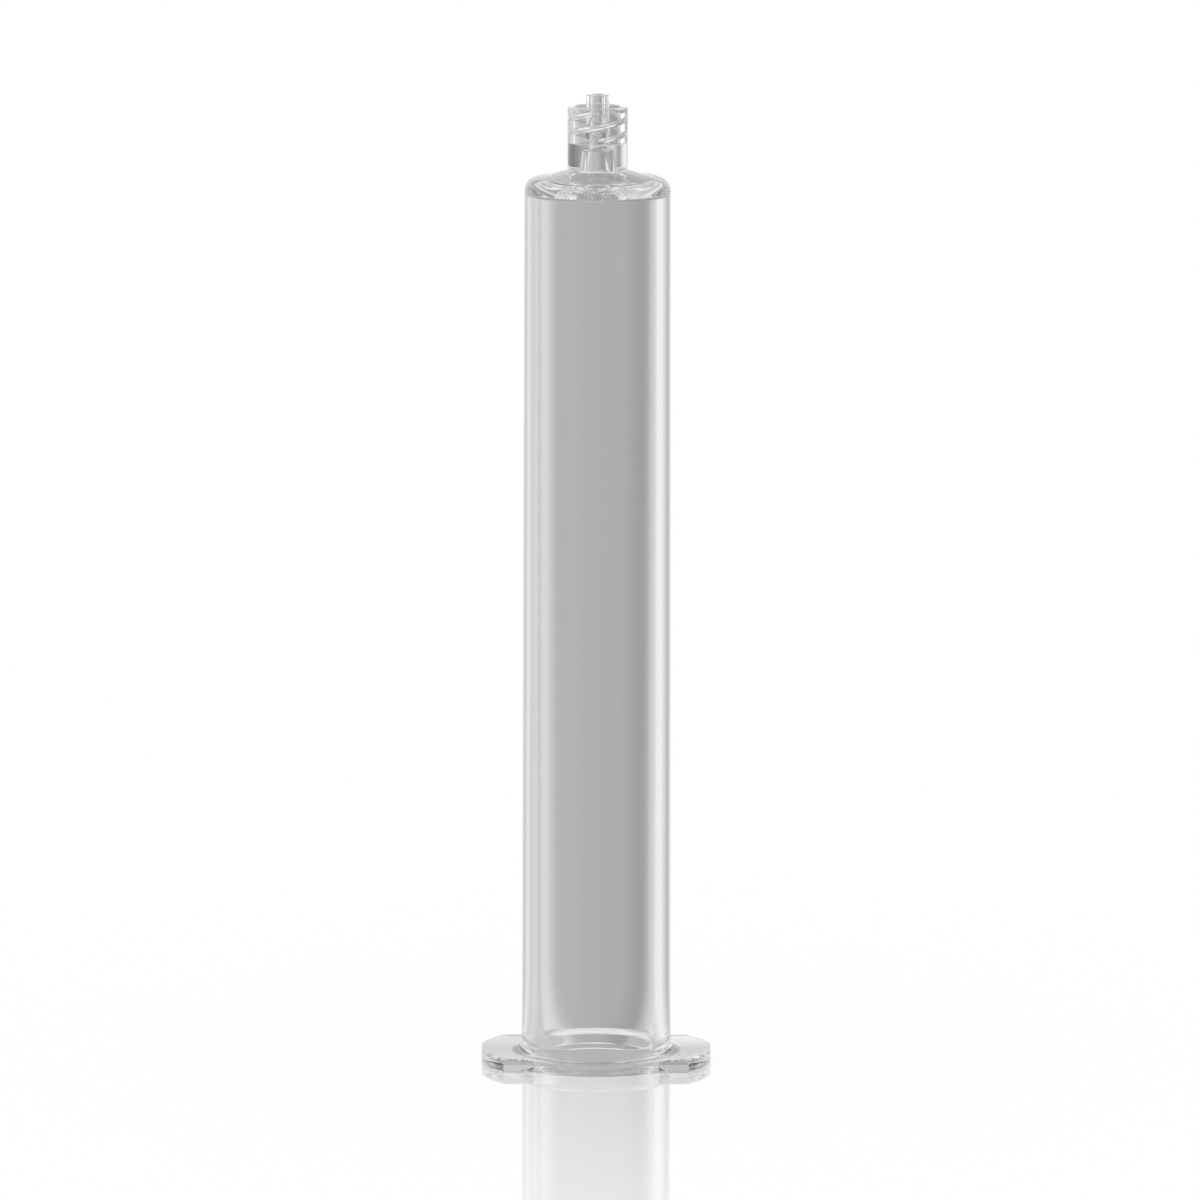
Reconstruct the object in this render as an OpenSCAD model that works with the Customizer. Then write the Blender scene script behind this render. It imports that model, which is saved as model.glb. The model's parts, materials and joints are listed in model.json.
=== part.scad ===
// Clear syringe barrel with a luer lock tip, standing on its finger flange.
// One moulding, drawn as the regions that a toolmaker would name.
// Millimetres, +Z up through the tip, origin at the middle of the open mouth.

/* [Barrel] */
// Diameter of the straight bore
bore_d = 21; // [19:0.1:23]
// Depth of the bore, from the open mouth to the corner at its end
bore_depth = 155.5; // [60:0.1:220]
// Radius of the corner at the end of the bore
bore_corner_r = 0.5; // [0.2:0.1:1.5]
// Thickness of the barrel's wall under the shoulder
barrel_wall = 2.45; // [1.6:0.05:3.2]
// Growth of the outside diameter down to the flange, for the mould's draft
barrel_draft = 0.7; // [0:0.1:2]
// Lead-in chamfer round the open mouth
mouth_chamfer = 0.5; // [0.2:0.1:1.5]

/* [Flange] */
// Thickness of the flange
flange_t = 2; // [1.2:0.1:4]
// Reach of the round part of the flange, outwards from the foot of the barrel
flange_reach = 3.7; // [3.2:0.1:6]
// Reach of the circle that the ears follow, outwards from the round part
ear_reach = 3.8; // [2:0.1:7]
// Depth of the flat that cuts off the end of each ear
ear_end_cut = 0.4; // [0.1:0.1:1]
// Distance from the ears' flats in to the edge of the round part
ear_flat_inset = 4.2; // [2.5:0.1:8]
// Radius of the upright corners of the ears
ear_corner_r = 0.3; // [0.1:0.1:1.5]
// Radius of the fillet between flange and barrel
foot_fillet_r = 2; // [0.5:0.1:3]

/* [Shoulder] */
// Slope of the shoulder, inside and out, in degrees
shoulder_slope = 12; // [2:1:20]
// Thickness of the shoulder, along the axis
shoulder_wall = 3.05; // [2:0.05:5]
// Radius of the rounded outer edge of the shoulder
shoulder_edge_r = 2.6; // [0.5:0.1:4]
// Length of straight wall between the seam under the shoulder and its curves
shoulder_skirt = 1; // [0.5:0.1:4]

/* [Luer tip] */
// Height of the hub, from the shoulder's slope to the floor of the lock
hub_h = 4.8; // [4:0.1:9]
// Radius of the fillet between hub and shoulder
hub_fillet_r = 0.2; // [0.1:0.05:1.2]
// Diameter of the passage at its wide lower end
passage_low_d = 4.8; // [3.2:0.1:5.4]
// Diameter of the passage at its upper end
passage_top_d = 3.7; // [2.8:0.1:4.6]
// Radius of the corner round the upper end of the passage
passage_edge_r = 0.5; // [0.2:0.05:0.6]
// Thickness left between the upper end of the passage and the floor of the lock
passage_roof = 0.85; // [0.5:0.05:1.5]
// Depth of the lock, from the rim of its collar to its floor
lock_depth = 6.5; // [5.4:0.1:8]
// Inside diameter of the lock collar
collar_bore_d = 8.1; // [7.9:0.05:8.3]
// Thickness of the lock collar's wall
collar_wall = 1.3; // [0.9:0.05:1.8]
// Edge break on the rim of the collar
collar_edge = 0.25; // [0.1:0.05:0.4]
// Length of the nozzle above the floor of the lock
nozzle_l = 8.65; // [7.5:0.05:11]
// Diameter of the nozzle at its end
nozzle_end_d = 3.98; // [3.9:0.01:4.05]
// Taper of the nozzle, as growth of its diameter over its length
nozzle_taper = 0.06; // [0.05:0.005:0.07]
// Edge break on the end of the nozzle
nozzle_edge = 0.2; // [0.1:0.05:0.4]
// Diameter of the outlet through the nozzle
outlet_d = 2; // [1.2:0.1:2.6]

/* [Hidden] */
$fn = 128;
clear_tint = [0.82, 0.82, 0.82, 0.45];
// Overshoot of cutting tools past the faces that they cut
past = 1;

// Radii and widths, each built outwards from the one that carries it
bore_r = bore_d / 2;
top_r = bore_r + barrel_wall;
foot_r = top_r + barrel_draft / 2;
flange_r = foot_r + flange_reach;
ear_r = flange_r + ear_reach;
ear_span = 2 * (ear_r - ear_end_cut);
ear_w = 2 * (flange_r - ear_flat_inset);
collar_bore_r = collar_bore_d / 2;
collar_r = collar_bore_r + collar_wall;
outlet_r = outlet_d / 2;

// Height of the shoulder's inside and outside at radius r
function shoulder_under_z(r) = bore_depth + (bore_r - r) * tan(shoulder_slope);
function shoulder_top_z(r) = shoulder_under_z(r) + shoulder_wall;

// Point at a distance from a centre, square to the shoulder's slope
function square_to_slope(centre, distance) =
    centre + distance * [sin(shoulder_slope), cos(shoulder_slope)];

// Centres of the three curves of the shoulder, and where its edge meets wall and slope
edge_r = top_r - shoulder_edge_r;
edge_touch_r = edge_r + shoulder_edge_r * sin(shoulder_slope);
edge_centre = [edge_r, shoulder_top_z(edge_touch_r) - shoulder_edge_r * cos(shoulder_slope)];
wall_touch = [top_r, edge_centre[1]];
slope_touch = square_to_slope(edge_centre, shoulder_edge_r);
corner_r = bore_r - bore_corner_r;
corner_centre = [corner_r, shoulder_under_z(corner_r) - bore_corner_r / cos(shoulder_slope)];
foot_centre_r = collar_r + hub_fillet_r;
hub_foot_centre = [foot_centre_r, shoulder_top_z(foot_centre_r) + hub_fillet_r / cos(shoulder_slope)];

// Heights of the faces where the regions of the moulding meet
foot_z = flange_t + foot_fillet_r;
seam_z = min(edge_centre[1], corner_centre[1]) - shoulder_skirt;
hub_z = hub_foot_centre[1];
floor_z = shoulder_top_z(collar_r) + hub_h;
rim_z = floor_z + lock_depth;

// Passage through the shoulder and the hub
passage_low_z = shoulder_under_z(passage_low_d / 2);
passage_top_z = floor_z - passage_roof;
passage_taper = atan((passage_low_d - passage_top_d) / 2 / (passage_top_z - passage_low_z));

// Radius of the tapered passage at height z
function passage_r(z) = passage_low_d / 2 - (z - passage_low_z) * tan(passage_taper);

// Round disc at the mouth, with the fillet that carries the barrel
module flange_ring() {
    fillet_centre = [foot_r + foot_fillet_r, foot_z];
    color(clear_tint)
    rotate_extrude()
    difference() {
        polygon([
            [bore_r + mouth_chamfer, 0],
            [flange_r, 0],
            [flange_r, flange_t],
            [fillet_centre[0], flange_t],
            fillet_centre,
            [bore_r, foot_z],
            [bore_r, mouth_chamfer]
        ]);
        translate(fillet_centre) circle(foot_fillet_r);
    }
}

// Waste outside the rounded corner where the ear's circle meets the flat on its +Y side
module ear_corner_waste() {
    corner_y = ear_w / 2 - ear_corner_r;
    corner = [sqrt(pow(ear_r - ear_corner_r, 2) - pow(corner_y, 2)), corner_y];
    outwards = corner / norm(corner);
    difference() {
        polygon([
            corner,
            [corner[0], ear_r],
            [ear_r, ear_r],
            (ear_r + past) * outwards
        ]);
        translate(corner) circle(ear_corner_r);
    }
}

// Outline of the right ear, which starts inside the round part of the flange
module ear_outline() {
    difference() {
        intersection() {
            circle(ear_r);
            translate([0, -ear_w / 2]) square([ear_span / 2, ear_w]);
        }
        ear_corner_waste();
        mirror([0, 1]) ear_corner_waste();
        circle(flange_r);
    }
}

module flange_ear_right() {
    color(clear_tint)
    linear_extrude(flange_t)
    ear_outline();
}

module flange_ear_left() {
    mirror([1, 0, 0]) flange_ear_right();
}

// Straight bore inside a drafted outside
module barrel_tube() {
    color(clear_tint)
    rotate_extrude()
    polygon([
        [bore_r, foot_z],
        [foot_r, foot_z],
        [top_r, seam_z],
        [bore_r, seam_z]
    ]);
}

// End wall of the barrel, with its rounded edge and the fillet under the hub
module shoulder() {
    color(clear_tint)
    rotate_extrude()
    difference() {
        union() {
            polygon([
                [passage_low_d / 2, passage_low_z],
                square_to_slope(corner_centre, bore_corner_r),
                corner_centre,
                [bore_r, corner_centre[1]],
                [bore_r, seam_z],
                [top_r, seam_z],
                wall_touch,
                slope_touch,
                square_to_slope(hub_foot_centre, -hub_fillet_r),
                hub_foot_centre,
                [passage_r(hub_z), hub_z]
            ]);
            shoulder_edge();
        }
        translate(corner_centre) circle(bore_corner_r);
        translate(hub_foot_centre) circle(hub_fillet_r);
    }
}

// Segment that rounds the outer edge, outside the chord from the wall to the slope
module shoulder_edge() {
    intersection() {
        translate(edge_centre) circle(shoulder_edge_r);
        polygon([
            wall_touch,
            wall_touch + [shoulder_edge_r, 0],
            [top_r, slope_touch[1]] + [shoulder_edge_r, shoulder_edge_r],
            square_to_slope(slope_touch, shoulder_edge_r),
            slope_touch
        ]);
    }
}

// Solid block under the lock, with the passage that narrows to the outlet
module tip_hub() {
    color(clear_tint)
    difference() {
        translate([0, 0, hub_z]) cylinder(r = collar_r, h = floor_z - hub_z);
        rotate_extrude() passage_outline();
        translate([0, 0, passage_top_z - past]) cylinder(r = outlet_r, h = passage_roof + 2 * past);
    }
}

// Half section of the passage in the hub, with its corner rounded from side to end
module passage_outline() {
    corner_in = passage_edge_r * (1 - sin(passage_taper)) / cos(passage_taper);
    corner = [passage_top_d / 2 - corner_in, passage_top_z - passage_edge_r];
    polygon([
        [0, hub_z - past],
        [passage_r(hub_z - past), hub_z - past],
        corner + passage_edge_r * [cos(passage_taper), sin(passage_taper)],
        corner,
        [corner[0], passage_top_z],
        [0, passage_top_z]
    ]);
    translate(corner) circle(passage_edge_r);
}

// Shroud round the nozzle, with broken edges on its rim
module lock_collar() {
    color(clear_tint)
    rotate_extrude()
    polygon([
        [collar_bore_r, floor_z],
        [collar_r, floor_z],
        [collar_r, rim_z - collar_edge],
        [collar_r - collar_edge, rim_z],
        [collar_bore_r + collar_edge, rim_z],
        [collar_bore_r, rim_z - collar_edge]
    ]);
}

// Tapered luer cone with the outlet through it and a broken edge at its end
module luer_nozzle() {
    end_r = nozzle_end_d / 2;
    end_z = floor_z + nozzle_l;
    edge_z = end_z - nozzle_edge;
    color(clear_tint)
    rotate_extrude()
    polygon([
        [outlet_r, floor_z],
        [end_r + nozzle_taper * nozzle_l / 2, floor_z],
        [end_r + nozzle_taper * nozzle_edge / 2, edge_z],
        [end_r - nozzle_edge, end_z],
        [outlet_r, end_z]
    ]);
}

flange_ring();
flange_ear_left();
flange_ear_right();
barrel_tube();
shoulder();
tip_hub();
lock_collar();
luer_nozzle();
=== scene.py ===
"""Clear syringe barrel with a luer lock tip, standing on its finger flange on a glossy white table."""
import json
import logging
import math
from dataclasses import dataclass
from enum import Enum

import bmesh
import bpy
from mathutils import Euler, Matrix, Vector


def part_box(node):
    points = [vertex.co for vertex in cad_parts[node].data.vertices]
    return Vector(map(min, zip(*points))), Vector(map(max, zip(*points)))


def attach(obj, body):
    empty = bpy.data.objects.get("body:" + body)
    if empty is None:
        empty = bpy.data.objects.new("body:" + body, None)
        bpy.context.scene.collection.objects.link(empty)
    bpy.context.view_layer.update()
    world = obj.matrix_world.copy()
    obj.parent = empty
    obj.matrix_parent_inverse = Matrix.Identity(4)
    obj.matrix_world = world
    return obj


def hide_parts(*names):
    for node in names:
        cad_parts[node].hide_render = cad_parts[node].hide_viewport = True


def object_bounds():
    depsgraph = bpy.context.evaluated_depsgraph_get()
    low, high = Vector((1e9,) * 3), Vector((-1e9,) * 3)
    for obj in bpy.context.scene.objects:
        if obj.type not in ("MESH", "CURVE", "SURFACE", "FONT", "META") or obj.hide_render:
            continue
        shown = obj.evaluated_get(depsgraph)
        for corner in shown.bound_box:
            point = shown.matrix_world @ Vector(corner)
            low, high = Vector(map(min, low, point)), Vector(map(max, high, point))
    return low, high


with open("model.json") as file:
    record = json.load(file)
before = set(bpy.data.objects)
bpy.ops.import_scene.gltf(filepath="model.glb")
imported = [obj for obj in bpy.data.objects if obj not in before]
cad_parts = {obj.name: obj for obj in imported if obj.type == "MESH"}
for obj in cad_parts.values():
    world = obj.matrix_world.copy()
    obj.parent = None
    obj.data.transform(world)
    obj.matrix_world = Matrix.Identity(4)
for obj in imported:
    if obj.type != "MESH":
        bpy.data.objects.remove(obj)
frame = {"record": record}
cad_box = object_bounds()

log = logging.getLogger("syringe_barrel")

# Metres in a millimetre
MM = 0.001
# Allowance for rounding where points are picked by place, in millimetres
SLACK = 0.001
# Radius of the glowing screen round the object, which paints shade and highlights into the clear plastic,
# in millimetres
SCREEN_RADIUS = 80.0


class Side(Enum):
    """Side of the object as the camera sees it, with its sign along X."""

    LEFT = -1
    RIGHT = 1


@dataclass(frozen=True)
class Corner:
    """One corner of the half section, in millimetres from the axis and the table.

    Attributes:
        radius: Distance from the axis.
        height: Height above the table.
        rounding: Radius that rounds the corner, or 0 for a sharp one.
        rows: Number of steps on the straight stretch that leads to this corner.
    """

    radius: float
    height: float
    rounding: float = 0.0
    rows: int = 1

    @property
    def point(self) -> Vector:
        """The corner as a flat vector of radius and height."""
        return Vector((self.radius, self.height))


@dataclass(frozen=True)
class NodeBox:
    """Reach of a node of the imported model, in millimetres.

    Attributes:
        radius: Furthest reach along +X.
        depth: Furthest reach along +Y.
        low: Lowest height.
        high: Highest height.
    """

    radius: float
    depth: float
    low: float
    high: float

    @classmethod
    def of(cls, node: str) -> "NodeBox":
        """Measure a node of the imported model.

        Args:
            node: Name of the node.

        Returns:
            Its reach in millimetres.
        """
        low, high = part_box(node)
        return cls(high.x / MM, high.y / MM, low.z / MM, high.z / MM)


def mount_size(name: str, size: str) -> float:
    """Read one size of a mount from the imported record.

    Args:
        name: Name of the mount.
        size: Name of the size.

    Returns:
        The size in millimetres.
    """
    mounts = {mount["name"]: mount for mount in frame["record"]["mounts"]}
    return mounts[name]["dims"][size]


def deselect_objects() -> None:
    """Leave no object selected, so that the next operator acts on its own piece alone."""
    if bpy.context.object is not None and bpy.context.object.mode != "OBJECT":
        bpy.ops.object.mode_set(mode="OBJECT")
    bpy.ops.object.select_all(action="DESELECT")


def select_alone(piece: bpy.types.Object) -> None:
    """Select one piece and no other, and make it the active one."""
    deselect_objects()
    piece.select_set(True)
    bpy.context.view_layer.objects.active = piece


def start_editing(piece: bpy.types.Object) -> None:
    """Open one piece alone in edit mode."""
    deselect_objects()
    bpy.context.view_layer.objects.active = piece
    bpy.ops.object.mode_set(mode="EDIT")


def edit_mesh() -> bmesh.types.BMesh:
    """The mesh of the piece in edit mode, for selecting by place."""
    mesh = bmesh.from_edit_mesh(bpy.context.object.data)
    mesh.verts.ensure_lookup_table()
    return mesh


def select_verts(mesh: bmesh.types.BMesh, chosen: set[int]) -> None:
    """Select exactly these vertices of the mesh in edit mode.

    Args:
        mesh: The mesh in edit mode.
        chosen: Indices of the vertices.
    """
    bpy.ops.mesh.select_all(action="DESELECT")
    for vert in mesh.verts:
        vert.select = vert.index in chosen
    mesh.select_flush_mode()
    bmesh.update_edit_mesh(bpy.context.object.data)


class SectionPen:
    """Draws the half section of a turned piece as one closed chain of edges in the XZ plane."""

    # Rounding from which an arc gets the finer step between its points, in millimetres
    FINE_FROM = 0.4
    FINE_STEP = math.radians(6.0)
    COARSE_STEP = math.radians(18.0)
    # Distance of a guard row from the end of a straight stretch, in millimetres
    GUARD = 0.06
    # Least length of each step in a guarded stretch, in guard distances
    GUARD_ROOM = 4.0
    # Distance within which points are joined, in the section and in the turned piece
    SECTION_WELD = MM / 1000.0
    TURN_WELD = MM / 500.0

    def __init__(self, name: str) -> None:
        """Start a new piece with a single point on the axis.

        Args:
            name: Name of the new piece.
        """
        deselect_objects()
        bpy.ops.mesh.primitive_plane_add(size=MM, location=(0.0, 0.0, 0.0))
        self.piece = bpy.context.object
        self.piece.name = name
        self.piece.data.name = name
        bpy.ops.object.mode_set(mode="EDIT")
        bpy.ops.mesh.select_mode(type="VERT")
        bpy.ops.mesh.select_all(action="SELECT")
        bpy.ops.mesh.merge(type="CENTER")
        self.at = Vector((0.0, 0.0))

    def move_to(self, point: Vector) -> None:
        """Carry the first point to where the section starts."""
        step = (point - self.at) * MM
        bpy.ops.transform.translate(value=(step.x, 0.0, step.y))
        self.at = point

    def line_to(self, point: Vector) -> None:
        """Extrude the last point along a straight line."""
        step = (point - self.at) * MM
        bpy.ops.mesh.extrude_region_move(TRANSFORM_OT_translate={"value": (step.x, 0.0, step.y)})
        self.at = point

    def arc_through(self, before: Corner, corner: Corner, after: Corner) -> list[Vector]:
        """Work out the points that round one corner.

        Args:
            before: The corner that the section comes from.
            corner: The corner to round.
            after: The corner that the section goes to.

        Returns:
            The points along the arc, or the corner alone where it is sharp.
        """
        if corner.rounding == 0.0:
            return [corner.point]
        back = (before.point - corner.point).normalized()
        ahead = (after.point - corner.point).normalized()
        half = back.angle(ahead) / 2.0
        centre = corner.point + (back + ahead).normalized() * (corner.rounding / math.sin(half))
        reach = corner.rounding / math.tan(half)
        first = corner.point + back * reach - centre
        turn = first.angle_signed(corner.point + ahead * reach - centre)
        step_angle = self.FINE_STEP if corner.rounding >= self.FINE_FROM else self.COARSE_STEP
        steps = math.ceil(abs(turn) / step_angle)
        points = []
        for step in range(steps + 1):
            angle = math.atan2(first.y, first.x) - turn * step / steps
            points.append(centre + corner.rounding * Vector((math.cos(angle), math.sin(angle))))
        return points

    def stretch_to(self, point: Vector, rows: int) -> None:
        """Draw a straight stretch, with a guard row near each end so that the wall shades flat.

        Args:
            point: Where the stretch ends.
            rows: Number of steps between the guard rows.
        """
        origin = self.at
        length = (point - origin).length
        guarded = length > self.GUARD_ROOM * self.GUARD * rows
        inset = self.GUARD / length if guarded else 0.0
        if guarded:
            self.line_to(origin.lerp(point, inset))
        for row in range(1, rows + 1):
            self.line_to(origin.lerp(point, inset + (1.0 - 2.0 * inset) * row / rows))
        if guarded:
            self.line_to(point)

    def draw(self, corners: list[Corner]) -> None:
        """Draw the closed section through its corners and join its ends.

        Args:
            corners: The corners in order round the section.
        """
        for index, corner in enumerate(corners):
            before = corners[index - 1]
            after = corners[(index + 1) % len(corners)]
            points = self.arc_through(before, corner, after)
            if index == 0:
                start = points[0]
                self.move_to(start)
            else:
                self.stretch_to(points[0], corner.rows)
            for point in points[1:]:
                self.line_to(point)
        self.line_to(start)
        bpy.ops.mesh.select_all(action="SELECT")
        bpy.ops.mesh.remove_doubles(threshold=self.SECTION_WELD)

    def spin(self, stops: list[tuple[float, int]]) -> bpy.types.Object:
        """Turn the section once round the axis, with a column of points at every stop.

        Args:
            stops: Angle of each stretch in degrees, and the number of columns in it.

        Returns:
            The closed turned piece, in object mode.
        """
        bpy.ops.mesh.select_all(action="SELECT")
        for degrees, columns in stops:
            bpy.ops.mesh.spin(
                steps=columns, angle=math.radians(degrees), center=(0.0, 0.0, 0.0), axis=(0.0, 0.0, 1.0)
            )
        bpy.ops.mesh.select_all(action="SELECT")
        bpy.ops.mesh.remove_doubles(threshold=self.TURN_WELD)
        bpy.ops.mesh.normals_make_consistent(inside=False)
        bpy.ops.object.mode_set(mode="OBJECT")
        return self.piece


@dataclass
class FingerFlange:
    """Round flange at the mouth, with an ear on each side and a fillet up to the barrel, in millimetres.

    Attributes:
        ring: Reach of the round part.
        ear: Reach of the right ear.
        bore_radius: Radius of the bore that opens through it.
        barrel_radius: Outside radius of the barrel above the fillet.
        thickness: Thickness of the flange.
        ear_end_cut: Depth of the flat that cuts off the end of each ear.
        ear_corner: Radius of the upright corners of the ears.
        edge_break: Rounding of the flange's edges.
        mouth_chamfer: Lead-in chamfer at the mouth.
        mouth_edge: Rounding of the chamfer's edges.
    """

    ring: NodeBox
    ear: NodeBox
    bore_radius: float
    barrel_radius: float
    thickness: float = 2.0
    ear_end_cut: float = 0.4
    ear_corner: float = 0.3
    edge_break: float = 0.06
    mouth_chamfer: float = 0.5
    mouth_edge: float = 0.1

    # About how far apart the columns of points stand round the axis, in degrees
    COLUMN = 1.6
    # Parts of a degree that tell two columns apart
    PARTS = 100.0

    @property
    def ear_circle(self) -> float:
        """Radius of the circle that the ears follow."""
        return self.ear.radius + self.ear_end_cut

    @property
    def fillet(self) -> float:
        """Radius of the fillet between flange and barrel."""
        return self.ring.high - self.thickness

    def corner_centre(self) -> Vector:
        """Centre of the rounded corner at the back of the right ear."""
        height = self.ear.depth - self.ear_corner
        reach = self.ear_circle - self.ear_corner
        return Vector((math.sqrt(reach * reach - height * height), height))

    def stop_angles(self) -> list[float]:
        """Angles in degrees, from 0 to 90, where the outline of the ears changes."""
        centre = self.corner_centre()
        outwards = centre.normalized()
        middle = (outwards + Vector((0.0, 1.0))).normalized()
        end = math.degrees(math.acos(self.ear.radius / self.ear_circle))
        corner = [centre + self.ear_corner * way for way in (outwards, middle, Vector((0.0, 1.0)))]
        joint = math.degrees(math.asin(self.ear.depth / self.ring.depth))
        return [0.0, end, *(math.degrees(math.atan2(point.y, point.x)) for point in corner), joint, 90.0]

    def spin_stops(self) -> list[tuple[float, int]]:
        """Stretches of the full turn, so that columns fall on every corner of the ears."""
        angles = self.stop_angles()
        quarter = [after - before for before, after in zip(angles, angles[1:])]
        turn = [*quarter, *reversed(quarter)] * 2
        return [(stretch, max(1, round(stretch / self.COLUMN))) for stretch in turn]

    def outline(self, angle: float) -> float:
        """Radius of the flange's edge at an angle.

        Args:
            angle: Angle from +X, in radians.

        Returns:
            The radius in millimetres.
        """
        along, across = abs(math.cos(angle)), abs(math.sin(angle))
        turn = math.degrees(math.atan2(across, along))
        stops = self.stop_angles()
        corner_start, corner_end = stops[2], stops[4]
        reach = self.ear_circle
        if along > 0.0:
            reach = min(reach, self.ear.radius / along)
        if across > 0.0:
            reach = min(reach, self.ear.depth / across)
        if corner_start < turn < corner_end:
            centre = self.corner_centre()
            ahead = centre.dot(Vector((along, across)))
            aside = centre.length_squared - ahead * ahead
            reach = min(reach, ahead + math.sqrt(self.ear_corner**2 - aside))
        return max(reach, self.ring.depth)

    def outside(self) -> list[Corner]:
        """Corners of the section from the mouth's edge out and up to the barrel."""
        return [
            Corner(self.bore_radius + self.mouth_chamfer, 0.0, self.mouth_edge),
            Corner(self.ring.depth, 0.0, self.edge_break, rows=3),
            Corner(self.ring.depth, self.thickness, self.edge_break, rows=2),
            Corner(self.barrel_radius, self.thickness, self.fillet, rows=2),
        ]

    def inside(self) -> list[Corner]:
        """Corner of the section where the bore meets the mouth's chamfer."""
        return [Corner(self.bore_radius, self.mouth_chamfer, self.mouth_edge, rows=16)]

    def pull_ears(self, piece: bpy.types.Object) -> None:
        """Pull the rim of the round flange out to the outline of the ears.

        Args:
            piece: The turned moulding.
        """
        start_editing(piece)
        mesh = edit_mesh()
        inner = (self.ring.depth - self.edge_break - SLACK) * MM
        columns: dict[int, set[int]] = {}
        for vert in mesh.verts:
            if vert.co.z < (self.thickness + SLACK) * MM and vert.co.xy.length > inner:
                place = round(math.degrees(math.atan2(vert.co.y, vert.co.x)) * self.PARTS)
                columns.setdefault(place, set()).add(vert.index)
        for place, rim in columns.items():
            growth = self.outline(math.radians(place / self.PARTS)) / self.ring.depth
            if growth > 1.0:
                select_verts(mesh, rim)
                bpy.ops.transform.resize(value=(growth, growth, 1.0), center_override=(0.0, 0.0, 0.0))
                mesh = edit_mesh()
        bpy.ops.object.mode_set(mode="OBJECT")


@dataclass
class BarrelTube:
    """Tube with a straight bore and a drafted outside, in millimetres.

    Attributes:
        tube: Reach of the tube.
        top_radius: Outside radius under the shoulder.
        rows: Number of rings of points along the outside.
    """

    tube: NodeBox
    top_radius: float
    rows: int = 16

    def outside(self) -> list[Corner]:
        """Corner of the section at the seam under the shoulder."""
        return [Corner(self.top_radius, self.tube.high, rows=self.rows)]


@dataclass
class Shoulder:
    """Sloping end wall of the barrel, with its rounded edge and the fillet under the hub, in millimetres.

    Attributes:
        top_radius: Outside radius of the barrel under the shoulder.
        bore_radius: Radius of the bore.
        bore_end: Height where the straight bore ends.
        hub_radius: Outside radius of the hub.
        passage_radius: Radius of the passage where it leaves the bore.
        slope: Slope inside and out, in degrees.
        wall: Thickness along the axis.
        edge: Radius of the outer edge.
        bore_corner: Radius of the corner at the end of the bore.
        hub_fillet: Radius of the fillet under the hub.
        passage_edge: Rounding where the passage leaves the bore.
    """

    top_radius: float
    bore_radius: float
    bore_end: float
    hub_radius: float
    passage_radius: float = 2.4
    slope: float = 12.0
    wall: float = 3.05
    edge: float = 2.6
    bore_corner: float = 0.5
    hub_fillet: float = 0.2
    passage_edge: float = 0.12

    def under(self, radius: float) -> float:
        """Height of the inside of the end wall at a radius."""
        slope = math.radians(self.slope)
        corner_radius = self.bore_radius - self.bore_corner
        corner_height = self.bore_end + self.bore_corner / math.cos(slope)
        return corner_height + (corner_radius - radius) * math.tan(slope)

    def top(self, radius: float) -> float:
        """Height of the outside of the end wall at a radius."""
        return self.under(radius) + self.wall

    def outside(self) -> list[Corner]:
        """Corners of the section over the rounded edge and up to the hub."""
        return [
            Corner(self.top_radius, self.top(self.top_radius), self.edge),
            Corner(self.hub_radius, self.top(self.hub_radius), self.hub_fillet, rows=5),
        ]

    def inside(self) -> list[Corner]:
        """Corners of the section from the passage down to the bore."""
        return [
            Corner(self.passage_radius, self.under(self.passage_radius), self.passage_edge, rows=5),
            Corner(self.bore_radius, self.under(self.bore_radius), self.bore_corner, rows=6),
        ]


@dataclass
class LuerTip:
    """Hub, lock collar and tapered nozzle, with the passage through them, in millimetres.

    Attributes:
        hub: Reach of the hub.
        collar: Reach of the lock collar.
        nozzle: Reach of the nozzle.
        outlet_radius: Radius of the outlet.
        lock_radius: Inside radius of the collar.
        rim_edge: Rounding of the collar's rim.
        floor_corner: Rounding of the corners at the floor of the lock.
        nozzle_taper: Growth of the nozzle's diameter over its length.
        nozzle_edge: Rounding of the nozzle's end.
        outlet_edge: Rounding of the outlet's edges.
        passage_top_radius: Radius of the passage at its upper end.
        passage_edge: Radius of the corner round that end.
        passage_roof: Thickness between that end and the floor of the lock.
        wall_rows: Number of rings of points on the inside of the collar.
    """

    hub: NodeBox
    collar: NodeBox
    nozzle: NodeBox
    outlet_radius: float
    lock_radius: float = 4.05
    rim_edge: float = 0.25
    floor_corner: float = 0.15
    nozzle_taper: float = 0.06
    nozzle_edge: float = 0.2
    outlet_edge: float = 0.08
    passage_top_radius: float = 1.85
    passage_edge: float = 0.5
    passage_roof: float = 0.85
    wall_rows: int = 110

    def lock(self) -> list[Corner]:
        """Corners of the section round the collar, its floor and the nozzle."""
        length = self.nozzle.high - self.nozzle.low
        end_radius = self.nozzle.radius - self.nozzle_taper * length / 2.0
        return [
            Corner(self.collar.radius, self.collar.high, self.rim_edge, rows=6),
            Corner(self.lock_radius, self.collar.high, self.rim_edge),
            Corner(self.lock_radius, self.collar.low, self.floor_corner, rows=self.wall_rows),
            Corner(self.nozzle.radius, self.nozzle.low, self.floor_corner, rows=2),
            Corner(end_radius, self.nozzle.high, self.nozzle_edge, rows=8),
            Corner(self.outlet_radius, self.nozzle.high, self.outlet_edge),
        ]

    def passage(self) -> list[Corner]:
        """Corners of the section down the outlet and over the end of the passage."""
        top = self.collar.low - self.passage_roof
        return [
            Corner(self.outlet_radius, top, self.outlet_edge, rows=8),
            Corner(self.passage_top_radius, top, self.passage_edge, rows=2),
        ]


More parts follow.
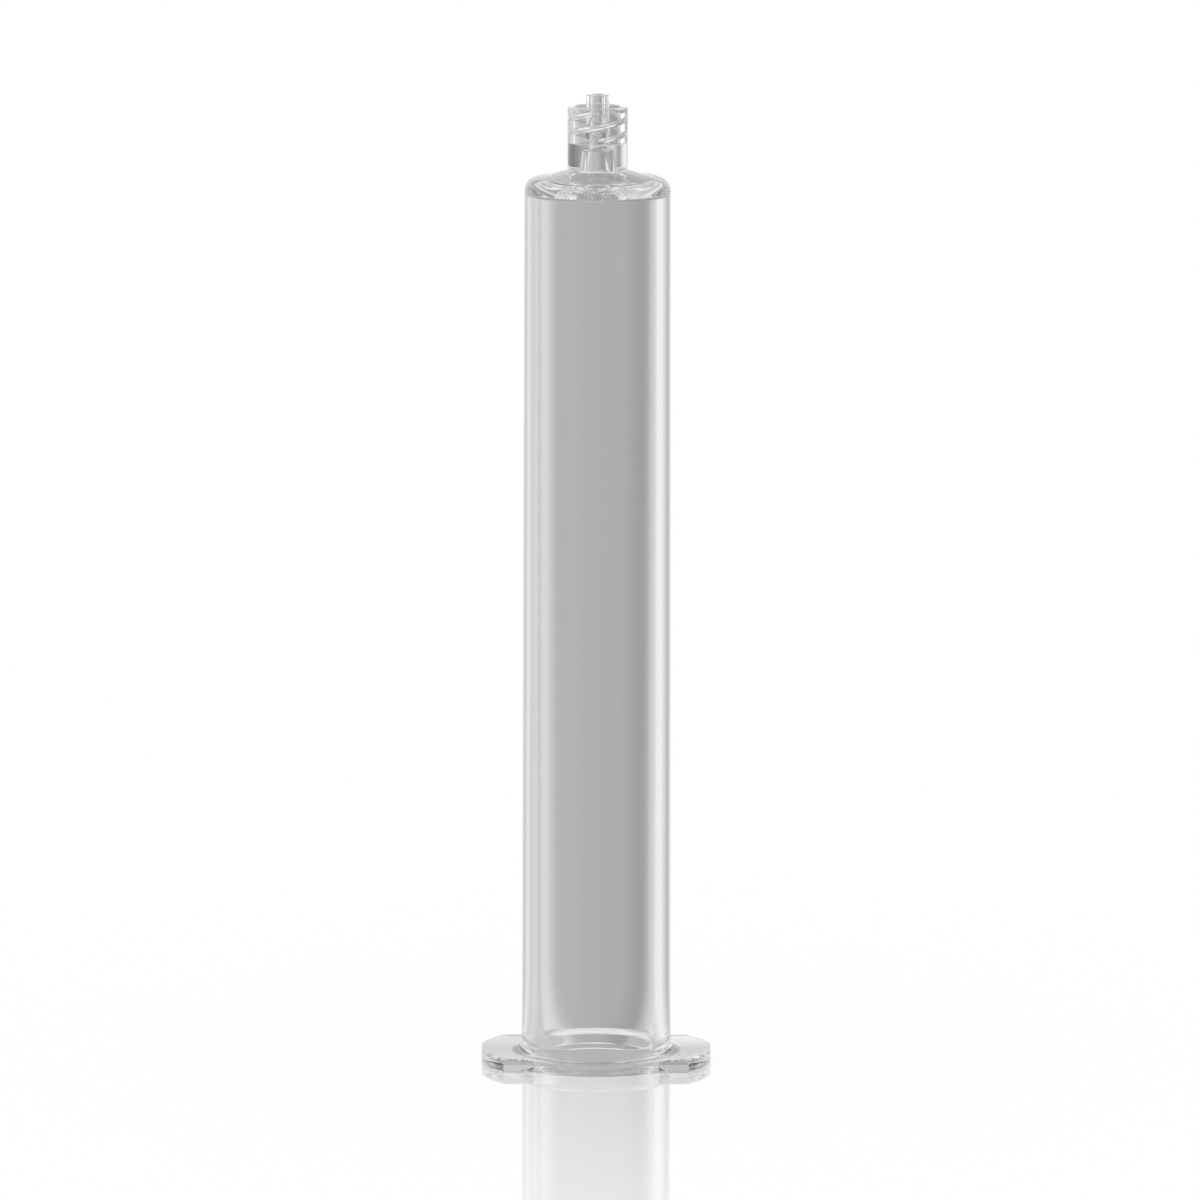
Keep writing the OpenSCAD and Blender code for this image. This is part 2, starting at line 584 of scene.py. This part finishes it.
@dataclass
class LockThread:
    """Ridges of the right-hand double-start thread on the inside of the lock collar, in millimetres.

    Attributes:
        tip: The tip that carries the thread.
        lead: Rise of a ridge in one turn.
        starts: Number of ridges.
        front_height: Height of a crest at the front of the collar.
        ridge: Height of a ridge above the wall.
        crest: Width of a ridge at its crest.
        root: Width of a ridge at the wall.
        first: Height where the ridges start.
        last: Height where the ridges end.
        run_out: Height over which an end of a ridge fades out.
    """

    tip: LuerTip
    lead: float = 5.0
    starts: int = 2
    front_height: float = 165.1
    ridge: float = 0.42
    crest: float = 0.15
    root: float = 0.95
    first: float = 164.95
    last: float = 170.2
    run_out: float = 0.4

    GROUP = "lock_thread"
    # Direction of the front, from +X
    FRONT = -math.pi / 2.0
    # Distance within which a point counts as lying on the wall, in millimetres
    NEAR_WALL = 0.01

    def height_share(self, place: Vector) -> float:
        """Share of the ridge's full height at a place on the collar's wall.

        Args:
            place: Place in metres.

        Returns:
            The share, from 0 on the bare wall to 1 on a crest.
        """
        spacing = self.lead / self.starts
        turn = (math.atan2(place.y, place.x) - self.FRONT) / math.tau
        height = place.z / MM
        offset = (height - self.front_height - self.lead * turn) / spacing
        distance = (offset - round(offset)) * spacing
        crest_height = height - distance
        flank = (self.root / 2.0 - abs(distance)) / ((self.root - self.crest) / 2.0)
        start = (crest_height - self.first) / self.run_out
        end = (self.last - crest_height) / self.run_out
        share = min(1.0, max(0.0, flank))
        for fade in (start, end):
            fade = min(1.0, max(0.0, fade))
            share *= fade * fade * (3.0 - 2.0 * fade)
        return share

    def raise_ridges(self, piece: bpy.types.Object) -> None:
        """Raise the ridges from the collar's wall.

        Args:
            piece: The turned moulding.
        """
        select_alone(piece)
        group = piece.vertex_groups.new(name=self.GROUP)
        wall = self.tip.lock_radius * MM
        low, high = self.tip.collar.low * MM, self.tip.collar.high * MM
        for vert in piece.data.vertices:
            on_wall = abs(vert.co.xy.length - wall) < self.NEAR_WALL * MM
            if on_wall and low < vert.co.z < high:
                share = self.height_share(vert.co)
                if share > 0.0:
                    group.add([vert.index], share, "REPLACE")
        bpy.ops.object.modifier_add(type="DISPLACE")
        displace = piece.modifiers[-1]
        displace.vertex_group = self.GROUP
        displace.direction = "NORMAL"
        displace.mid_level = 0.0
        displace.strength = self.ridge * MM
        bpy.ops.object.modifier_apply(modifier=displace.name)
        piece.vertex_groups.clear()

    def smooth_wall(self, piece: bpy.types.Object) -> None:
        """Shade the threaded wall smooth all over, flanks of the ridges too.

        Args:
            piece: The moulding, already shaded smooth by angle.
        """
        start_editing(piece)
        mesh = edit_mesh()
        inner = (self.tip.lock_radius - self.ridge - SLACK) * MM
        outer = (self.tip.lock_radius + SLACK) * MM
        low = (self.first - self.run_out) * MM
        high = (self.last + self.run_out) * MM
        wall = set()
        for vert in mesh.verts:
            if inner < vert.co.xy.length < outer and low < vert.co.z < high:
                wall.add(vert.index)
        select_verts(mesh, wall)
        bpy.ops.mesh.mark_sharp(clear=True)
        bpy.ops.object.mode_set(mode="OBJECT")


def new_material(name: str) -> tuple[bpy.types.Material, bpy.types.ShaderNode]:
    """Start a material that has nothing but its output.

    Args:
        name: Name of the material.

    Returns:
        The material and its output node.
    """
    material = bpy.data.materials.new(name)
    material.use_nodes = True
    material.node_tree.nodes.clear()
    return material, material.node_tree.nodes.new("ShaderNodeOutputMaterial")


def new_painted_light_sheet(name: str, brightness: float) -> tuple[bpy.types.Material, bpy.types.ShaderNode]:
    """Start the material of a glowing sheet that paints shade and highlights into the clear plastic and
    lights nothing else.

    Args:
        name: Name of the material.
        brightness: Brightness of the painted light where the sheet is white.

    Returns:
        The material and its emission node.
    """
    material, output = new_material(name)
    material.cycles.emission_sampling = "NONE"
    glow = material.node_tree.nodes.new("ShaderNodeEmission")
    glow.inputs["Strength"].default_value = brightness
    material.node_tree.links.new(glow.outputs["Emission"], output.inputs["Surface"])
    return material, glow


@dataclass(frozen=True)
class ClearPlastic:
    """Polished clear plastic with faint flow lines from moulding.

    Attributes:
        name: Name of the material.
        tint: Share of light that one wall passes.
        tint_spread: Variation of that share along the flow lines.
        index: Index of refraction.
        polish: Roughness where the mould was polished best.
        haze: Roughness along the faint flow marks.
        ripple: Height of the surface ripple, in millimetres.
        flow_scale: Scale of the noise that draws the flow lines.
        flow_stretch: Scale of that noise along the barrel, as a share of its scale across.
        flow_detail: Detail of that noise.
        haze_from: Value of the noise above which the haze starts.
        haze_full: Value of the noise at which the haze is full.
    """

    name: str = "clear_plastic"
    tint: float = 0.93
    tint_spread: float = 0.01
    index: float = 1.5
    polish: float = 0.0
    haze: float = 0.012
    ripple: float = 0.001
    flow_scale: float = 260.0
    flow_stretch: float = 0.06
    flow_detail: float = 2.0
    haze_from: float = 0.55
    haze_full: float = 0.8

    def material(self) -> bpy.types.Material:
        """Build the material from its nodes.

        Returns:
            The finished material.
        """
        material, output = new_material(self.name)
        nodes, links = material.node_tree.nodes, material.node_tree.links
        shader = nodes.new("ShaderNodeBsdfPrincipled")
        links.new(shader.outputs["BSDF"], output.inputs["Surface"])
        shader.inputs["Transmission Weight"].default_value = 1.0
        shader.inputs["IOR"].default_value = self.index

        place = nodes.new("ShaderNodeTexCoord")
        stretch = nodes.new("ShaderNodeMapping")
        stretch.inputs["Scale"].default_value = (1.0, 1.0, self.flow_stretch)
        links.new(place.outputs["Object"], stretch.inputs["Vector"])
        flow = nodes.new("ShaderNodeTexNoise")
        flow.inputs["Scale"].default_value = self.flow_scale
        flow.inputs["Detail"].default_value = self.flow_detail
        links.new(stretch.outputs["Vector"], flow.inputs["Vector"])

        shade = nodes.new("ShaderNodeMapRange")
        shade.inputs["To Min"].default_value = self.tint - self.tint_spread
        shade.inputs["To Max"].default_value = self.tint + self.tint_spread
        links.new(flow.outputs["Fac"], shade.inputs["Value"])
        links.new(shade.outputs["Result"], shader.inputs["Base Color"])

        gloss = nodes.new("ShaderNodeMapRange")
        gloss.inputs["From Min"].default_value = self.haze_from
        gloss.inputs["From Max"].default_value = self.haze_full
        gloss.inputs["To Min"].default_value = self.polish
        gloss.inputs["To Max"].default_value = self.haze
        links.new(flow.outputs["Fac"], gloss.inputs["Value"])
        links.new(gloss.outputs["Result"], shader.inputs["Roughness"])

        ripple = nodes.new("ShaderNodeBump")
        ripple.inputs["Distance"].default_value = self.ripple * MM
        links.new(flow.outputs["Fac"], ripple.inputs["Height"])
        links.new(ripple.outputs["Normal"], shader.inputs["Normal"])
        return material


@dataclass(frozen=True)
class GlossyTable:
    """White acrylic table that mirrors the object near its foot and keeps its shadow.

    Attributes:
        name: Name of the material.
        glow: Share of the white that the table shows without light on it.
        paint: Diffuse colour, which takes the rest of the white from the light.
        mirror: Share of mirror reflection at the object's foot.
        mirror_start: Distance from the axis up to which the reflection is full, in millimetres.
        mirror_end: Distance from the axis where the reflection has faded out, in millimetres.
    """

    name: str = "white_table"
    glow: float = 0.8
    paint: float = 0.2
    mirror: float = 0.52
    mirror_start: float = 15.0
    mirror_end: float = 320.0

    def material(self) -> bpy.types.Material:
        """Build the material from its nodes.

        Returns:
            The finished material.
        """
        material, output = new_material(self.name)
        nodes, links = material.node_tree.nodes, material.node_tree.links

        paint = nodes.new("ShaderNodeBsdfDiffuse")
        paint.inputs["Color"].default_value = (self.paint, self.paint, self.paint, 1.0)
        glow = nodes.new("ShaderNodeEmission")
        glow.inputs["Strength"].default_value = self.glow
        white = nodes.new("ShaderNodeAddShader")
        links.new(paint.outputs["BSDF"], white.inputs[0])
        links.new(glow.outputs["Emission"], white.inputs[1])

        mirror = nodes.new("ShaderNodeBsdfGlossy")
        mirror.inputs["Roughness"].default_value = 0.0
        mirror.inputs["Color"].default_value = (1.0, 1.0, 1.0, 1.0)

        place = nodes.new("ShaderNodeTexCoord")
        distance = nodes.new("ShaderNodeVectorMath")
        distance.operation = "LENGTH"
        links.new(place.outputs["Object"], distance.inputs[0])
        fade = nodes.new("ShaderNodeMapRange")
        fade.inputs["From Min"].default_value = self.mirror_start * MM
        fade.inputs["From Max"].default_value = self.mirror_end * MM
        fade.inputs["To Min"].default_value = self.mirror
        fade.inputs["To Max"].default_value = 0.0
        links.new(distance.outputs["Value"], fade.inputs["Value"])

        surface = nodes.new("ShaderNodeMixShader")
        links.new(fade.outputs["Result"], surface.inputs["Fac"])
        links.new(white.outputs["Shader"], surface.inputs[1])
        links.new(mirror.outputs["BSDF"], surface.inputs[2])
        links.new(surface.outputs["Shader"], output.inputs["Surface"])
        return material


@dataclass(frozen=True)
class PaintedLightStrip:
    """One strip of the glowing screen round the object, which shows only through the clear plastic and
    paints shade and highlights into it by azimuth.

    Attributes:
        name: Name of the strip and its material.
        low: Height of its lower edge, in millimetres.
        high: Height of its upper edge, in millimetres.
        stops: Azimuth in degrees and brightness of each stop, clockwise from straight behind; low levels
            are painted shade and high levels painted highlights.
    """

    name: str
    low: float
    high: float
    stops: tuple[tuple[float, float], ...]

    # Brightness of the painted highlight at the white end of the ramp
    FULL = 2.0
    # Turn that puts the middle of the gradient straight behind the object
    FACING = -math.pi / 2.0
    # Place of straight behind on the ramp, and degrees along the whole ramp
    BEHIND = 0.5
    WHOLE = 360.0

    def material(self) -> bpy.types.Material:
        """Build the material from its nodes.

        Returns:
            The finished material.
        """
        material, glow = new_painted_light_sheet(self.name, self.FULL)
        nodes, links = material.node_tree.nodes, material.node_tree.links
        place = nodes.new("ShaderNodeTexCoord")
        facing = nodes.new("ShaderNodeMapping")
        facing.inputs["Rotation"].default_value = (0.0, 0.0, self.FACING)
        links.new(place.outputs["Object"], facing.inputs["Vector"])
        round_axis = nodes.new("ShaderNodeTexGradient")
        round_axis.gradient_type = "RADIAL"
        links.new(facing.outputs["Vector"], round_axis.inputs["Vector"])
        levels = nodes.new("ShaderNodeValToRGB")
        links.new(round_axis.outputs["Fac"], levels.inputs["Fac"])
        links.new(levels.outputs["Color"], glow.inputs["Color"])
        ramp = levels.color_ramp.elements
        while len(ramp) > 1:
            ramp.remove(ramp[-1])
        for index, (azimuth, brightness) in enumerate(reversed(self.stops)):
            position = self.BEHIND - azimuth / self.WHOLE
            stop = ramp[0] if index == 0 else ramp.new(position)
            stop.position = position
            level = brightness / self.FULL
            stop.color = (level, level, level, 1.0)
        return material


# Painted light and shade: each strip covers one band of height, and its stops set by azimuth the grey
# shade and the bright highlight bands that the clear plastic shows there.
BARREL_STRIP = PaintedLightStrip(
    "barrel_strip",
    0.0,
    151.3,
    (
        (-180.0, 0.47),
        (-165.0, 0.47),
        (-150.0, 0.6),
        (-130.0, 0.85),
        (-110.0, 0.6),
        (-95.0, 0.5),
        (-85.0, 0.5),
        (-70.0, 0.62),
        (-58.0, 0.7),
        (-46.0, 0.62),
        (-38.0, 0.68),
        (-31.0, 0.88),
        (-24.0, 0.8),
        (-19.5, 0.7),
        (-15.0, 0.54),
        (-11.0, 0.47),
        (0.0, 0.47),
        (9.0, 0.4),
        (15.0, 0.34),
        (19.0, 0.34),
        (23.0, 0.45),
        (31.0, 0.68),
        (45.0, 0.95),
        (60.0, 0.9),
        (75.0, 0.65),
        (85.0, 0.5),
        (95.0, 0.5),
        (110.0, 0.6),
        (130.0, 0.85),
        (150.0, 0.6),
        (165.0, 0.47),
        (180.0, 0.47),
    ),
)
HUB_STRIP = PaintedLightStrip(
    "hub_strip",
    BARREL_STRIP.high,
    155.6,
    (
        (-180.0, 0.9),
        (-90.0, 0.9),
        (-78.0, 0.5),
        (-66.0, 0.6),
        (-56.0, 0.95),
        (-46.0, 0.92),
        (-40.0, 0.75),
        (-35.0, 0.45),
        (-30.0, 0.3),
        (-18.0, 0.74),
        (-10.0, 0.56),
        (0.0, 0.55),
        (11.0, 0.46),
        (20.0, 0.36),
        (29.0, 0.24),
        (41.0, 0.12),
        (64.0, 0.08),
        (72.0, 0.2),
        (90.0, 0.5),
        (110.0, 0.9),
        (180.0, 0.9),
    ),
)
LOCK_STRIP = PaintedLightStrip(
    "lock_strip",
    HUB_STRIP.high,
    161.7,
    (
        (-180.0, 1.0),
        (-66.0, 1.0),
        (-52.0, 0.9),
        (-44.0, 0.66),
        (-34.0, 0.66),
        (-26.0, 0.64),
        (-20.0, 0.58),
        (-12.0, 0.52),
        (-6.0, 0.49),
        (0.0, 0.48),
        (5.0, 0.4),
        (10.0, 0.3),
        (18.0, 0.28),
        (23.0, 0.6),
        (28.0, 1.0),
        (45.0, 1.15),
        (58.0, 1.15),
        (63.0, 0.5),
        (69.0, 0.4),
        (85.0, 0.6),
        (100.0, 1.0),
        (180.0, 1.0),
    ),
)
PASSAGE_STRIP = PaintedLightStrip(
    "passage_strip",
    LOCK_STRIP.high,
    168.0,
    (
        (-180.0, 1.0),
        (-80.0, 0.95),
        (-68.0, 0.6),
        (-56.0, 0.52),
        (-42.0, 0.6),
        (-34.0, 0.92),
        (-28.0, 0.85),
        (-20.0, 0.67),
        (-12.0, 0.5),
        (0.0, 0.47),
        (12.0, 0.36),
        (25.0, 0.33),
        (40.0, 0.42),
        (62.0, 0.3),
        (69.0, 0.37),
        (85.0, 0.6),
        (100.0, 1.0),
        (180.0, 1.0),
    ),
)
UPPER_STRIP = PaintedLightStrip(
    "upper_strip",
    PASSAGE_STRIP.high,
    200.0,
    (
        (-180.0, 1.0),
        (-100.0, 1.0),
        (-80.0, 0.38),
        (0.0, 0.38),
        (8.0, 0.24),
        (20.0, 0.24),
        (40.0, 0.38),
        (80.0, 0.38),
        (100.0, 1.0),
        (180.0, 1.0),
    ),
)


@dataclass(frozen=True)
class PaintedLightMat:
    """Round glowing sheet, which shows only in the clear plastic and paints one even level of light into
    it, grey for painted shade and near white for a painted highlight.

    Attributes:
        name: Name of the sheet and its material.
        radius: Radius of the sheet, in millimetres.
        behind: Distance of its centre behind the axis, in millimetres.
        height: Height of the sheet, in millimetres.
        brightness: Brightness of the painted light.
        aside: Distance of its centre to the right of the axis, in millimetres.
        mirrored: Whether reflections on the plastic show it too, as a painted reflection.
    """

    name: str
    radius: float
    behind: float
    height: float
    brightness: float
    aside: float = 0.0
    mirrored: bool = False

    def material(self) -> bpy.types.Material:
        """The material of the paper."""
        material, _ = new_painted_light_sheet(self.name, self.brightness)
        return material


# Heights of the glowing mats of painted light that lie between the table and the object, in millimetres
LOWER_LAYER = -0.03
UPPER_LAYER = -0.015
# Size and place of the mats behind the ears, which paint grey shade into the ears, in millimetres
EAR_MAT_RADIUS = 6.5
EAR_MAT_BEHIND = 19.5
EAR_MAT_ASIDE = 15.0


def ear_shade_mat(side: Side, brightness: float) -> PaintedLightMat:
    """Cut the glowing mat that lies behind one ear and paints grey shade into it.

    Args:
        side: Side of the ear.
        brightness: Brightness of the painted shade.

    Returns:
        The mat.
    """
    return PaintedLightMat(
        f"{side.name.lower()}_mat",
        radius=EAR_MAT_RADIUS,
        behind=EAR_MAT_BEHIND,
        height=LOWER_LAYER,
        brightness=brightness,
        aside=EAR_MAT_ASIDE * side.value,
    )


# The bright mat behind the axis paints a highlight into the plastic near the foot; the grey mats under
# the bore, over the tip and behind the ears paint shade into the plastic, and the mat under the bore is a
# painted reflection too.
BACK_HIGHLIGHT_MAT = PaintedLightMat("back_mat", radius=8.5, behind=10.0, height=LOWER_LAYER, brightness=0.95)
BORE_SHADE_MAT = PaintedLightMat(
    "bore_mat", radius=10.4, behind=0.0, height=UPPER_LAYER, brightness=0.47, mirrored=True
)
CEILING_SHADE_MAT = PaintedLightMat(
    "ceiling_mat", radius=SCREEN_RADIUS, behind=0.0, height=UPPER_STRIP.high, brightness=0.36
)
LEFT_EAR_SHADE_MAT = ear_shade_mat(Side.LEFT, brightness=0.6)
RIGHT_EAR_SHADE_MAT = ear_shade_mat(Side.RIGHT, brightness=0.52)


class Moulding:
    """The whole barrel as one clear solid, because no face divides the real moulding."""

    NAME = "barrel_moulding"
    SLOT = "clear_plastic"
    # Angle between two faces up to which their edge is shaded smooth
    SMOOTH_ANGLE = math.radians(28.0)
    # Scale that draws the finished piece in by a hair
    HAIR = 0.99995

    def __init__(self) -> None:
        """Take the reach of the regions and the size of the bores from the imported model."""
        bore_radius = mount_size("barrel_bore", "r_mm")
        ring = NodeBox.of("flange_ring")
        tube = NodeBox.of("barrel_tube")
        shoulder = NodeBox.of("shoulder")
        hub = NodeBox.of("tip_hub")
        self.flange = FingerFlange(ring, NodeBox.of("flange_ear_right"), bore_radius, tube.radius)
        self.tube = BarrelTube(tube, shoulder.radius)
        self.tip = LuerTip(
            hub, NodeBox.of("lock_collar"), NodeBox.of("luer_nozzle"), mount_size("outlet_bore", "r_mm")
        )
        bore_end = self.flange.mouth_chamfer + mount_size("barrel_bore", "length_mm")
        self.shoulder = Shoulder(shoulder.radius, bore_radius, bore_end, hub.radius)
        self.thread = LockThread(self.tip)

    def section(self) -> list[Corner]:
        """Corners of the half section, out over the outside and back down the inside."""
        return [
            *self.flange.outside(),
            *self.tube.outside(),
            *self.shoulder.outside(),
            *self.tip.lock(),
            *self.tip.passage(),
            *self.shoulder.inside(),
            *self.flange.inside(),
        ]

    def build(self) -> bpy.types.Object:
        """Model the moulding.

        Returns:
            The finished piece.
        """
        pen = SectionPen(self.NAME)
        pen.draw(self.section())
        piece = pen.spin(self.flange.spin_stops())
        self.flange.pull_ears(piece)
        self.thread.raise_ridges(piece)
        self.draw_in(piece)
        select_alone(piece)
        bpy.ops.object.shade_smooth_by_angle(angle=self.SMOOTH_ANGLE)
        self.thread.smooth_wall(piece)
        return piece

    def draw_in(self, piece: bpy.types.Object) -> None:
        """Draw the piece in by a hair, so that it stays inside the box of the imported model.

        Args:
            piece: The finished piece.
        """
        start_editing(piece)
        bpy.ops.mesh.select_all(action="SELECT")
        low, high = cad_box
        middle = (low + high) / 2.0
        bpy.ops.transform.resize(value=(self.HAIR, self.HAIR, self.HAIR), center_override=middle)
        bpy.ops.object.mode_set(mode="OBJECT")

    def dress(self, piece: bpy.types.Object, finish: ClearPlastic) -> None:
        """Give the moulding its finish and its place in the frame.

        Args:
            piece: The finished piece.
            finish: The finish that it wears.
        """
        piece.data.materials.clear()
        piece.data.materials.append(finish.material())
        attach(piece, "root")
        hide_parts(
            "flange_ring",
            "flange_ear_left",
            "flange_ear_right",
            "barrel_tube",
            "shoulder",
            "tip_hub",
            "lock_collar",
            "luer_nozzle",
        )


@dataclass
class Studio:
    """Table, glowing sheets that paint shade and highlights into the clear plastic, light and camera
    round the object.

    Attributes:
        table_radius: Radius of the table, in metres.
        camera_back: Distance of the camera in front of the axis, in metres.
        camera_up: Height of the camera above the table, in metres.
        camera_aside: Distance of the camera to the right of the axis, in metres.
        pitch: Angle that the camera looks down, in degrees.
        roll: Turn of the camera about the line of sight, in degrees.
        lens: Focal length on a 36 mm sensor, in millimetres.
        screen_radius: Radius of the glowing screen of painted light round the object, in metres.
        table_drop: Room under the object for the glowing sheet that closes the screen's foot, in metres.
    """

    table_radius: float = 9.0
    camera_back: float = 1.893
    camera_up: float = 0.36978
    camera_aside: float = 0.00055
    pitch: float = 8.617
    roll: float = 0.1
    lens: float = 323.5
    screen_radius: float = SCREEN_RADIUS * MM
    table_drop: float = 0.00005

    # Radius of the glowing sheet at the screen's foot, as a share of the screen's radius
    FOOT_REACH = 1.02
    # Depth of that sheet, as a share of the room under the object
    FOOT_DEPTH = 0.9
    # Number of sides of the round sheets, and of the screen and its foot
    SHEET_SIDES = 96
    SCREEN_SIDES = 180
    # Tilt of a camera that looks level, in degrees
    LEVEL = 90.0
    # Width of the camera's sensor, in millimetres
    SENSOR = 36.0
    # Nearest and furthest distance that the camera sees, in metres
    NEAREST = 0.05
    FURTHEST = 60.0
    # Number of times that light may turn in all, through clear walls and off shiny ones
    TURNS = 128
    CLEAR_TURNS = 64
    SHINY_TURNS = 96

    def lay_table(self, finish: GlossyTable) -> None:
        """Lay the table under the object.

        Args:
            finish: The finish that it wears.
        """
        deselect_objects()
        place = (0.0, 0.0, -self.table_drop)
        bpy.ops.mesh.primitive_circle_add(
            vertices=self.SHEET_SIDES, radius=self.table_radius, fill_type="NGON", location=place
        )
        table = bpy.context.object
        table.name = finish.name
        table.data.materials.append(finish.material())

    def stand_strip(self, strip: PaintedLightStrip) -> None:
        """Stand one strip of the glowing screen round the object, which paints shade and highlights into
        the plastic.

        Args:
            strip: The strip.
        """
        deselect_objects()
        bpy.ops.mesh.primitive_circle_add(
            vertices=self.SCREEN_SIDES, radius=self.screen_radius, fill_type="NOTHING"
        )
        screen = bpy.context.object
        screen.name = strip.name
        bpy.ops.object.mode_set(mode="EDIT")
        bpy.ops.mesh.select_all(action="SELECT")
        bpy.ops.transform.translate(value=(0.0, 0.0, strip.low * MM))
        rise = (strip.high - strip.low) * MM
        bpy.ops.mesh.extrude_region_move(TRANSFORM_OT_translate={"value": (0.0, 0.0, rise)})
        bpy.ops.object.mode_set(mode="OBJECT")
        screen.data.materials.append(strip.material())
        self.hide_from_all_but_plastic(screen)

    def lay_foot(self, strip: PaintedLightStrip) -> None:
        """Lay the glowing sheet that closes the screen's foot and paints the strip's shade and highlights
        into the plastic from below.

        Args:
            strip: The strip that the sheet belongs to.
        """
        deselect_objects()
        radius = self.FOOT_REACH * self.screen_radius
        place = (0.0, 0.0, -self.FOOT_DEPTH * self.table_drop)
        bpy.ops.mesh.primitive_circle_add(
            vertices=self.SCREEN_SIDES, radius=radius, fill_type="NGON", location=place
        )
        foot = bpy.context.object
        foot.name = "screen_foot"
        foot.data.materials.append(strip.material())
        self.hide_from_all_but_plastic(foot)

    def lay_mat(self, mat: PaintedLightMat) -> None:
        """Lay one glowing mat of painted light.

        Args:
            mat: The sheet.
        """
        deselect_objects()
        place = (mat.aside * MM, mat.behind * MM, mat.height * MM)
        bpy.ops.mesh.primitive_circle_add(
            vertices=self.SHEET_SIDES, radius=mat.radius * MM, fill_type="NGON", location=place
        )
        sheet = bpy.context.object
        sheet.name = mat.name
        sheet.data.materials.append(mat.material())
        self.hide_from_all_but_plastic(sheet)
        sheet.visible_glossy = mat.mirrored

    def hide_from_all_but_plastic(self, card: bpy.types.Object) -> None:
        """Let a glowing sheet of painted light show through the clear plastic and nowhere else."""
        card.visible_camera = False
        card.visible_diffuse = False
        card.visible_glossy = False
        card.visible_shadow = False

    def light_room(self) -> None:
        """Fill the room with even white light, which the table and outer reflections show."""
        world = bpy.data.worlds.new("white_room")
        bpy.context.scene.world = world
        world.use_nodes = True
        nodes, links = world.node_tree.nodes, world.node_tree.links
        nodes.clear()
        output = nodes.new("ShaderNodeOutputWorld")
        backdrop = nodes.new("ShaderNodeBackground")
        backdrop.inputs["Color"].default_value = (1.0, 1.0, 1.0, 1.0)
        links.new(backdrop.outputs["Background"], output.inputs["Surface"])

    def set_camera(self) -> None:
        """Set the camera at the photograph's viewing angle."""
        deselect_objects()
        bpy.ops.object.camera_add(location=(self.camera_aside, -self.camera_back, self.camera_up))
        camera = bpy.context.object
        camera.name = "studio_camera"
        camera.data.lens = self.lens
        camera.data.sensor_width = self.SENSOR
        camera.data.clip_start = self.NEAREST
        camera.data.clip_end = self.FURTHEST
        turn = Euler((math.radians(self.LEVEL - self.pitch), 0.0, 0.0)).to_matrix()
        camera.rotation_euler = (turn @ Matrix.Rotation(math.radians(self.roll), 3, "Z")).to_euler()
        bpy.context.scene.camera = camera

    def set_view(self) -> None:
        """Show colours as they are written, and let light pass through all the walls."""
        scene = bpy.context.scene
        scene.view_settings.view_transform = "Standard"
        scene.cycles.max_bounces = self.TURNS
        scene.cycles.transmission_bounces = self.CLEAR_TURNS
        scene.cycles.glossy_bounces = self.SHINY_TURNS


def main() -> None:
    """Build the object and the studio round it."""
    logging.basicConfig(level=logging.INFO)
    moulding = Moulding()
    piece = moulding.build()
    moulding.dress(piece, ClearPlastic())
    log.info("%s: %d points, %d faces", piece.name, len(piece.data.vertices), len(piece.data.polygons))
    studio = Studio()
    studio.lay_table(GlossyTable())
    for strip in (BARREL_STRIP, HUB_STRIP, LOCK_STRIP, PASSAGE_STRIP, UPPER_STRIP):
        studio.stand_strip(strip)
    studio.lay_foot(BARREL_STRIP)
    for mat in (BACK_HIGHLIGHT_MAT, BORE_SHADE_MAT, CEILING_SHADE_MAT, LEFT_EAR_SHADE_MAT, RIGHT_EAR_SHADE_MAT):
        studio.lay_mat(mat)
    studio.light_room()
    studio.set_camera()
    studio.set_view()


if __name__ == "__main__":
    main()
